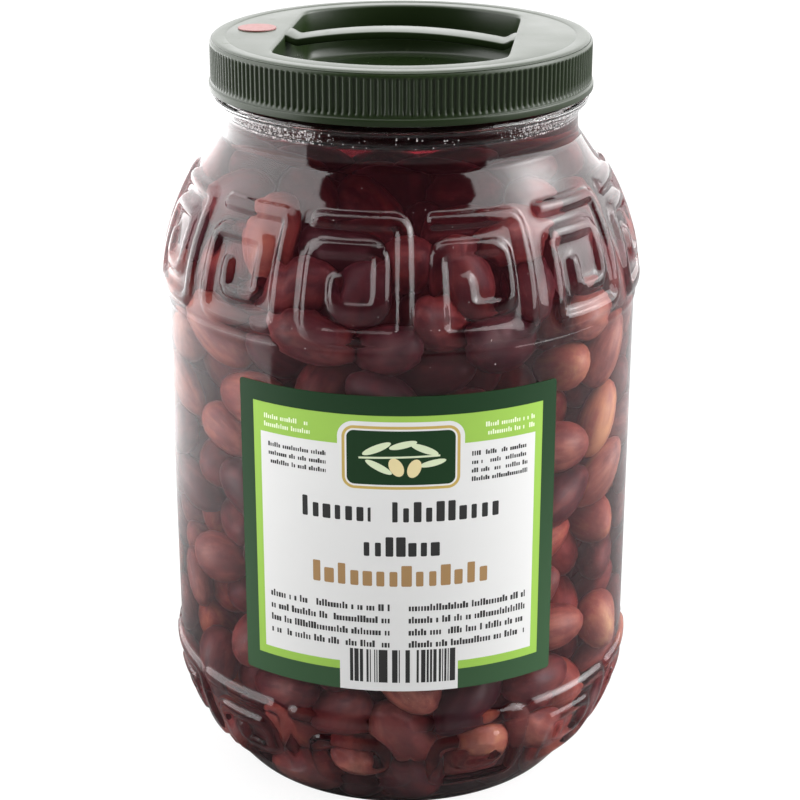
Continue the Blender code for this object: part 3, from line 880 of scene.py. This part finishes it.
# %% [markdown]
# ## The screw cap
# The cap is one moulding in dark green. Its skirt has 180 fine ribs, its roof has a faint ring
# near the edge, and a deep well is cut off straight on two sides. Again it is a drum: the rings
# of the skirt ripple for the ribs, and the rings of the well take the well's outline, which has
# one radius for each direction.

# %% Outline of the cap
CAP_TURN = math.radians(-6.5)
RIBS = 180
RIB_STEPS = 6
RIB_SHAPE = np.array([1.0, 0.9, 0.35, 0.0, 0.35, 0.9])
RIB_DEPTH = 0.75 * MM
WELL_RADIUS = 48.0 * MM
WELL_HALF_WIDTH = 35.0 * MM
WELL_FLOOR = 222.6 * MM
CUP_WALL = 1.3 * MM


def well_radius(angle):
    """Radius of the well: two arcs, cut off straight at the sides, with small round corners."""
    side = WELL_HALF_WIDTH / np.maximum(np.abs(np.sin(angle - CAP_TURN)), 0.05)
    power = 34.0
    return (WELL_RADIUS ** -power + side ** -power) ** (-1 / power)


cup = [(0.0, -1.3), (0.5, -1.3), (0.9, -1.3), (0.0, 0.0)]
under = round_corners([
    (57.0, 236.4, 0.4), (57.0, 223.0, 0.25), (59.3, 223.0, 0.35), (59.3, 225.0, 0.35),
    (58.75, 225.25, 0.15), (58.75, 225.9, 0)], 3)[2:]
skirt = [(58.75, height) for height in (226.6, 228.5, 231.0, 233.5, 235.2, 236.0, 236.5)]
roof = round_corners([
    (58.75, 236.6, 0), (58.6, 237.6, 0.7), (57.5, 238.6, 0.8), (54.2, 238.62, 0)], 4)[1:]
roof += [(53.9, 238.5), (53.7, 238.42), (53.4, 238.45), (53.1, 238.5)]
# Each ring: (radius or share of the well's outline, height, kind)
cap_rings = [(0.0, 221.3, "well"), (0.5, 221.3, "well"), (0.97, 221.3, "cup"), (1.0, 221.9, "cup"),
             (1.0, 236.4, "cup")]
cap_rings += [(radius, height, "plain") for radius, height in under]
cap_rings += [(radius, height, "rib") for radius, height in skirt]
cap_rings += [(radius, height, "plain") for radius, height in roof]
cap_rings += [(1.035, 238.52, "well"), (1.015, 238.47, "well"), (1.004, 238.2, "well"),
              (1.0, 237.6, "well"), (0.998, 232.0, "well"), (0.994, 226.0, "well"),
              (0.985, 223.6, "well"), (0.965, 222.9, "well"), (0.94, 222.6, "well"),
              (0.5, 222.6, "well"), (0.0, 222.6, "well")]
print(len(cap_rings), "rings in the cap")

# %% Material of the cap
cap_plastic, start = blank("green_cap_plastic")
where, x, y, z = place_of(start)
cloud = noise(where, 60.0, 3.0, 0.55)
grain = noise(where, 1500.0, 2.0, 0.5)
streak = noise(where, 240.0, 4.0, 0.7)
scratch = streak.soft(0.62, 0.74)
green = cloud.mix(rgb(0.0068, 0.0150, 0.0025), rgb(0.0100, 0.0195, 0.0042))
green = (scratch * 0.3).mix(green, rgb(0.045, 0.060, 0.025))
# Painted shade: inside the well the green is made darker, for the shade in the recess; the plastic there is
# also glossier.
in_well = z.soft(0.2330, 0.2240) * start.maths("SQRT", x * x + y * y).soft(0.0440, 0.0420)
green = in_well.mix(green, rgb(0.0052, 0.0115, 0.0021))
shader = start.add("ShaderNodeBsdfPrincipled", values={
    "Base Color": green, "Roughness": 0.27 + cloud * 0.12 + scratch * 0.08 - in_well * 0.08,
    "Specular IOR Level": 0.33, "Normal": bump(grain, 0.05 * MM, 0.5)})
surface(shader)
print("cap finish:", cap_plastic.name)

# %% Build the cap
cap = new_piece("screw_cap", drum(len(cap_rings), RIBS * RIB_STEPS), cap_plastic, sharp=50)
kinds = np.array([kind for _, _, kind in cap_rings])
sizes = np.array([size for size, _, _ in cap_rings])


def cap_radius(ring, angle):
    wave = RIB_SHAPE[np.rint(np.mod(angle, math.tau) / math.tau * RIBS * RIB_STEPS).astype(int) % RIB_STEPS]
    plain = sizes[ring] * MM
    ribbed = plain - RIB_DEPTH * (1 - wave)
    well = sizes[ring] * well_radius(angle)
    cup_wall = sizes[ring] * (well_radius(angle) + CUP_WALL)
    return np.select([kinds[ring] == "rib", kinds[ring] == "well", kinds[ring] == "cup"],
                     [ribbed, well, cup_wall], plain)


shape_drum(cap, cap_radius, [height * MM for _, height, _ in cap_rings])
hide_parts("lid")
print("cap", [round(side / MM, 1) for side in cap.dimensions], "mm")

# %% [markdown]
# A flat strap crosses the well as a handle. It is a bar with rounded edges, cut into short
# lengths. Then it is arched, and its last few millimetres step up to the roof and spread.

# %% Build the strap
STRAP_WIDTH = 10.6 * MM
STRAP_THICKNESS = 2.3 * MM
strap_bm = bmesh.new()
bmesh.ops.create_cube(strap_bm, size=1.0)
bmesh.ops.scale(strap_bm, vec=(2 * (WELL_HALF_WIDTH + 0.7 * MM), STRAP_WIDTH, STRAP_THICKNESS),
                verts=strap_bm.verts)
long_edges = [edge for edge in strap_bm.edges
              if abs(edge.verts[0].co.x - edge.verts[1].co.x) > WELL_HALF_WIDTH]
bmesh.ops.bevel(strap_bm, geom=long_edges, offset=0.45 * MM, segments=3, profile=0.5,
                affect='EDGES', material=-1)
for cut in range(1, 96):
    place = (cut / 48 - 1) * (WELL_HALF_WIDTH + 0.7 * MM)
    bmesh.ops.bisect_plane(strap_bm, geom=strap_bm.verts[:] + strap_bm.edges[:] + strap_bm.faces[:],
                           plane_co=(place, 0, 0), plane_no=(1, 0, 0))
for vert in strap_bm.verts:
    share = vert.co.x / (WELL_HALF_WIDTH + 0.7 * MM)
    arch = 1 - min(1.0, abs(share) / 0.88) ** 2
    ramp = float(smooth_step((abs(share) - 0.88) / 0.1))
    spread = 1 + 0.15 * ramp
    vert.co.y *= spread
    vert.co.z += (237.0 - 2.3 / 2) * MM + 2.8 * MM * arch + 1.3 * MM * ramp
bmesh.ops.rotate(strap_bm, cent=(0, 0, 0), matrix=Matrix.Rotation(CAP_TURN, 3, 'Z'),
                 verts=strap_bm.verts)
bmesh.ops.recalc_face_normals(strap_bm, faces=strap_bm.faces)
strap = new_piece("cap_strap", strap_bm, cap_plastic, sharp=50)

# %% [markdown]
# ## The label
# The label is coated paper, wrapped round the front of the body. Its print is fields of colour:
# a dark green border, a light green one inside it, and a white field. Where the real one has
# words, this one has rows of small blocks, the way a layout stands in for words. The material
# works in millimetres along the curve and up the jar, so every edge of the print is sharp.

# %% Geometry of the label
LABEL_LEFT, LABEL_RIGHT = -51.9, 49.7                   # along the curve, in mm
LABEL_BASE, LABEL_TOP = 51.3, 147.5
LABEL_INSIDE = BODY_RADIUS + 0.06 * MM
LABEL_THICKNESS = 0.3 * MM
LABEL_RADIUS = LABEL_INSIDE + LABEL_THICKNESS

label_bm = bmesh.new()
bmesh.ops.create_cube(label_bm, size=1.0)
bmesh.ops.scale(label_bm, vec=((LABEL_RIGHT - LABEL_LEFT) * MM, LABEL_THICKNESS,
                               (LABEL_TOP - LABEL_BASE) * MM), verts=label_bm.verts)
corner_edges = [edge for edge in label_bm.edges
                if abs(edge.verts[0].co.y - edge.verts[1].co.y) > LABEL_THICKNESS / 2]
bmesh.ops.bevel(label_bm, geom=corner_edges, offset=1.1 * MM, segments=4, profile=0.5,
                affect='EDGES', material=-1)
width = (LABEL_RIGHT - LABEL_LEFT) * MM
for cut in range(1, 72):
    bmesh.ops.bisect_plane(label_bm, geom=label_bm.verts[:] + label_bm.edges[:] + label_bm.faces[:],
                           plane_co=((cut / 72 - 0.5) * width, 0, 0), plane_no=(1, 0, 0))
for vert in label_bm.verts:
    turn = (vert.co.x + (LABEL_RIGHT + LABEL_LEFT) / 2 * MM) / LABEL_RADIUS
    radius = LABEL_INSIDE + (LABEL_THICKNESS if vert.co.y < 0 else 0.0)
    vert.co = Vector((radius * math.sin(turn), -radius * math.cos(turn),
                      vert.co.z + (LABEL_TOP + LABEL_BASE) / 2 * MM))
bmesh.ops.recalc_face_normals(label_bm, faces=label_bm.faces)
print("label cut into", len(label_bm.faces), "faces")

# %% Shapes for the print
def greeked(start, across, up, left, right, top, rows, pitch, size, letter, weight, spaces):
    """Rows of small blocks in the rhythm of words: 1 where there is ink."""
    row = start.maths("FLOOR", (top - up) / pitch)
    level = (top - up) / pitch - row
    cell = start.maths("FLOOR", (across - left) / letter)
    inside = (across - left) / letter - cell
    spot = start.add("ShaderNodeCombineXYZ", values={0: cell, 1: row, 2: left * 1.7 + top})
    chance = start.add("ShaderNodeTexWhiteNoise", {"noise_dimensions": "3D"}, {"Vector": spot})
    tall = start.add("ShaderNodeTexWhiteNoise", {"noise_dimensions": "3D"}, {
        "Vector": start.add("ShaderNodeVectorMath", {"operation": "ADD"}, {0: spot, 1: (31.0, 7.0, 3.0)})})
    half_high = size / 2 + (tall > 0.72) * (0.21 * size)
    half_wide = letter * weight * (0.28 + 0.22 * chance)
    corner = letter * weight * 0.14
    from_middle = abs((inside - 0.5) * letter) - half_wide + corner
    from_level = abs((1.0 - level) * pitch - half_high - 0.02) - half_high + corner
    out_x, out_y = start.maths("MAXIMUM", from_middle, 0.0), start.maths("MAXIMUM", from_level, 0.0)
    ink = (out_x * out_x + out_y * out_y < corner * corner) * (chance > spaces)
    return ink * across.between(left, right) * up.between(top - rows * pitch, top)


def oval(start, across, up, middle, half_long, half_short, turn):
    """1 inside an ellipse whose long axis is turned from level by some degrees."""
    cos, sin = math.cos(math.radians(turn)), math.sin(math.radians(turn))
    dx, dy = across - middle[0], up - middle[1]
    first = (dx * cos + dy * sin) / half_long
    second = (dy * cos - dx * sin) / half_short
    return (first * first + second * second) < 1.0


def plaque(start, across, up, middle, half_width, half_height, corner):
    """Distance outside a rectangle with round corners, negative inside."""
    dx = abs(across - middle[0]) - (half_width - corner)
    dy = abs(up - middle[1]) - (half_height - corner)
    out_x, out_y = start.maths("MAXIMUM", dx, 0.0), start.maths("MAXIMUM", dy, 0.0)
    outside = start.maths("SQRT", out_x * out_x + out_y * out_y)
    return outside + start.maths("MINIMUM", start.maths("MAXIMUM", dx, dy), 0.0) - corner


print("shapes for the print are ready")

# %% Material of the label
label_paper, start = blank("printed_paper")
where, x, y, z = place_of(start)
across = start.maths("ARCTAN2", x, 0.0 - y) * (LABEL_RADIUS / MM)
up = z * 1000.0
DARK_GREEN = rgb(0.009, 0.038, 0.012)
PALE_BORDER = rgb(0.034, 0.082, 0.036)                  # the border is paler towards its foot
LIGHT_GREEN = rgb(0.295, 0.50, 0.080)
WHITE = rgb(0.69, 0.69, 0.685)
INK = rgb(0.03, 0.03, 0.03)
GOLD = rgb(0.50, 0.36, 0.10)
BROWN = rgb(0.34, 0.205, 0.09)

in_light = across.between(-46.8, 44.6) * up.between(58.0, 141.5)
in_white = across.between(-44.2, 42.0) * up.between(60.8, 132.2)
badge = plaque(start, across, up, (0.0, 128.3), 17.0, 9.4, 3.2)
in_code = across.between(-18.8, 17.5) * up.between(40.0, 66.2)
border = up.soft(150.0, 50.0).mix(DARK_GREEN, PALE_BORDER)
colour = in_light.mix(border, LIGHT_GREEN)
white = start.maths("MAXIMUM", start.maths("MAXIMUM", in_white, in_code), badge < 1.9)
colour = white.mix(colour, WHITE)
colour = badge.between(-0.35, 0.55).mix(colour, GOLD)
colour = (badge < -0.9).mix(colour, DARK_GREEN)

leaves = None
for middle, long, short, turn in (((-7.2, 131.2), 4.6, 1.15, 24), ((-6.6, 125.4), 4.4, 1.1, -28),
                                  ((0.6, 132.4), 4.2, 1.05, 14), ((6.9, 131.0), 4.4, 1.1, -22),
                                  ((9.4, 126.6), 4.0, 1.0, 12)):
    leaf = oval(start, across, up, middle, long, short, turn)
    leaves = leaf if leaves is None else start.maths("MAXIMUM", leaves, leaf)
stem = abs(up - 128.6 - across * 0.03).soft(0.34, 0.26) * across.between(-12.5, 11.5)
fruit = start.maths("MAXIMUM", oval(start, across, up, (-1.4, 125.4), 3.1, 2.0, -62),
                    oval(start, across, up, (3.9, 125.0), 3.0, 1.95, -112))
colour = start.maths("MAXIMUM", leaves, stem).mix(colour, rgb(0.62, 0.70, 0.48))
colour = fruit.mix(colour, rgb(0.72, 0.62, 0.34))

ink = greeked(start, across, up, -31.0, 30.6, 116.2, 1, 8.4, 4.6, 3.42, 0.84, 0.04)
ink = ink * (1.0 - across.between(-9.0, -2.6))
second = greeked(start, across, up, -12.0, 11.94, 104.2, 1, 7.6, 4.5, 3.42, 0.84, 0.0)
small = greeked(start, across, up, -41.9, -3.2, 82.6, 4, 4.1, 1.6, 0.92, 0.86, 0.17)
small_right = greeked(start, across, up, 2.2, 39.6, 82.6, 4, 4.1, 1.6, 0.92, 0.86, 0.17)
notes = greeked(start, across, up, -41.6, -22.5, 130.6, 3, 2.7, 1.05, 0.72, 0.88, 0.18)
notes_right = greeked(start, across, up, 21.0, 39.4, 130.6, 4, 2.7, 1.05, 0.72, 0.88, 0.18)
for part in (second, small, small_right, notes, notes_right):
    ink = start.maths("MAXIMUM", ink, part)
module = start.maths("FLOOR", (across + 15.65) / 0.34)
chance = start.add("ShaderNodeTexWhiteNoise", {"noise_dimensions": "1D"}, {"W": module + 0.5})
code = (chance > 0.47) * across.between(-15.65, 16.65) * up.between(54.2, 65.4)
ink = start.maths("MAXIMUM", ink, code)
colour = ink.mix(colour, INK)
heading = greeked(start, across, up, -27.8, 27.2, 93.6, 1, 6.9, 4.9, 3.93, 0.84, 0.10)
colour = heading.mix(colour, BROWN)
pale = start.maths("MAXIMUM",
                   greeked(start, across, up, -43.0, -27.4, 139.2, 2, 2.6, 1.1, 0.72, 0.74, 0.15),
                   greeked(start, across, up, 25.2, 41.6, 139.2, 2, 2.6, 1.1, 0.72, 0.74, 0.15))
colour = pale.mix(colour, rgb(0.75, 0.82, 0.60))

fibre = noise(where, 1100.0, 3.0, 0.6)
wrinkle = noise(where, 45.0, 2.0)
shader = start.add("ShaderNodeBsdfPrincipled", values={
    "Base Color": colour, "Roughness": 0.48 + fibre * 0.10, "Specular IOR Level": 0.2,
    "Normal": bump(wrinkle + fibre * 0.04, 0.25 * MM, 0.4)})
surface(shader)
label = new_piece("paper_label", label_bm, label_paper, sharp=40)
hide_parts("label")

# %% [markdown]
# ## The sticker
# A small round sticker sits on the cap's roof, pale red and rubbed. It is a thin disc.

# %% Build the sticker
sticker_paper, start = blank("sticker_paper")
where, x, y, z = place_of(start)
wear = noise(where, 700.0, 3.0, 0.6).soft(0.5, 0.75)
shader = start.add("ShaderNodeBsdfPrincipled", values={
    "Base Color": (wear * 0.5).mix(rgb(0.20, 0.068, 0.064), rgb(0.28, 0.18, 0.165)),
    "Roughness": 0.42 + wear * 0.2, "Specular IOR Level": 0.3})
surface(shader)
sticker_bm = bmesh.new()
bmesh.ops.create_cone(sticker_bm, cap_ends=True, segments=72, radius1=6.0 * MM, radius2=5.9 * MM,
                      depth=0.3 * MM)
bmesh.ops.translate(sticker_bm, vec=(-44.6 * MM, 7.5 * MM, 238.75 * MM), verts=sticker_bm.verts)
sticker = new_piece("cap_sticker", sticker_bm, sticker_paper, sharp=40)
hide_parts("dot_sticker")
